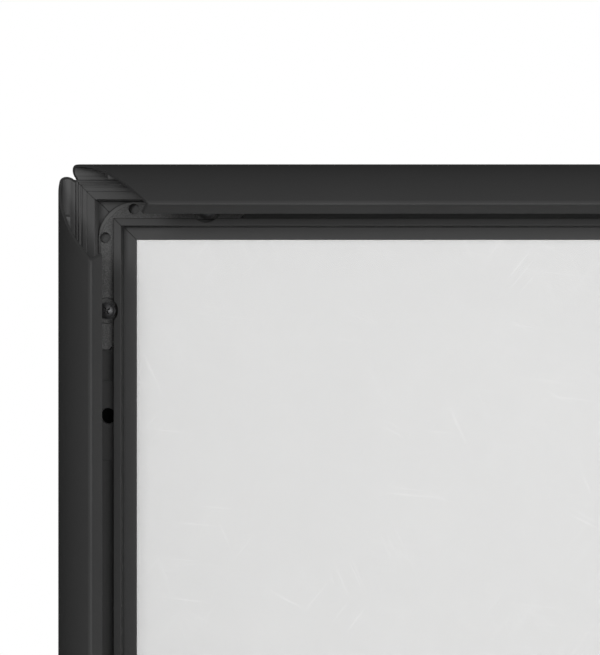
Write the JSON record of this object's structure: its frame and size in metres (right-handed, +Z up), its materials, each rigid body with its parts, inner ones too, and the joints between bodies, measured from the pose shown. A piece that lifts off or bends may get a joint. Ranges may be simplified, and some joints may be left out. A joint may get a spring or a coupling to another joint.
{
  "type": "poster frame",
  "caption": "Portrait front-opening poster frame: mitred rails carry hinged spring-held covers that swing open for changing the sheet behind its clear cover.",
  "frame": {"origin": "middle of the frame, on the plane of the wall that its back lies against", "axes": "+X to the viewer's right, +Z up, +Y into the wall, so the front faces -Y"},
  "size_m": [0.5018, 0.0496, 0.6758],
  "materials": {
    "base_paint": "satin black coat on extruded aluminium",
    "cover_paint": "satin black coat on extruded aluminium",
    "plate_paint": "grainy black coat on a die casting",
    "screw_steel": "blackened steel, half gloss",
    "pad_paint": "matt black",
    "spring_steel": "plain spring steel",
    "panel_white": "matt white sheet",
    "clear_film": "clear, low sheen"
  },
  "bodies": {
    "base": {"base_rail_left": "base_paint", "base_rail_top": "base_paint", "base_rail_right": "base_paint", "base_rail_bottom": "base_paint", "corner_plate_top_left": "plate_paint", "corner_plate_top_right": "plate_paint", "corner_plate_bottom_right": "plate_paint", "corner_plate_bottom_left": "plate_paint", "corner_screw_top_left_left": "screw_steel", "corner_screw_top_left_top": "screw_steel", "corner_screw_top_right_top": "screw_steel", "corner_screw_top_right_right": "screw_steel", "corner_screw_bottom_right_right": "screw_steel", "corner_screw_bottom_right_bottom": "screw_steel", "corner_screw_bottom_left_bottom": "screw_steel", "corner_screw_bottom_left_left": "screw_steel", "fixing_pad_left_upper": "pad_paint", "fixing_pad_left_lower": "pad_paint", "fixing_pad_right_upper": "pad_paint", "fixing_pad_right_lower": "pad_paint", "back_panel": "panel_white", "clear_sheet": "clear_film"},
    "left_cover": {"cover_left": "cover_paint", "snap_spring_left_1": "spring_steel", "snap_spring_left_2": "spring_steel", "snap_spring_left_3": "spring_steel"},
    "top_cover": {"cover_top": "cover_paint", "snap_spring_top_1": "spring_steel", "snap_spring_top_2": "spring_steel"},
    "right_cover": {"cover_right": "cover_paint", "snap_spring_right_1": "spring_steel", "snap_spring_right_2": "spring_steel", "snap_spring_right_3": "spring_steel"},
    "bottom_cover": {"cover_bottom": "cover_paint", "snap_spring_bottom_1": "spring_steel", "snap_spring_bottom_2": "spring_steel"}
  },
  "joints": [
    {"name": "left_cover_hinge", "type": "hinge", "parent": "base", "child": "left_cover", "pos_m": [-0.24305, -0.0101, 0], "axis": [0, 0, 1], "range_deg": [0, 66.5]},
    {"name": "top_cover_hinge", "type": "hinge", "parent": "base", "child": "top_cover", "pos_m": [0, -0.0101, 0.33005], "axis": [1, 0, 0], "range_deg": [0, 66.5]},
    {"name": "right_cover_hinge", "type": "hinge", "parent": "base", "child": "right_cover", "pos_m": [0.24305, -0.0101, 0], "axis": [0, 0, -1], "range_deg": [0, 66.5]},
    {"name": "bottom_cover_hinge", "type": "hinge", "parent": "base", "child": "bottom_cover", "pos_m": [0, -0.0101, -0.33005], "axis": [-1, 0, 0], "range_deg": [0, 66.5]}
  ]
}
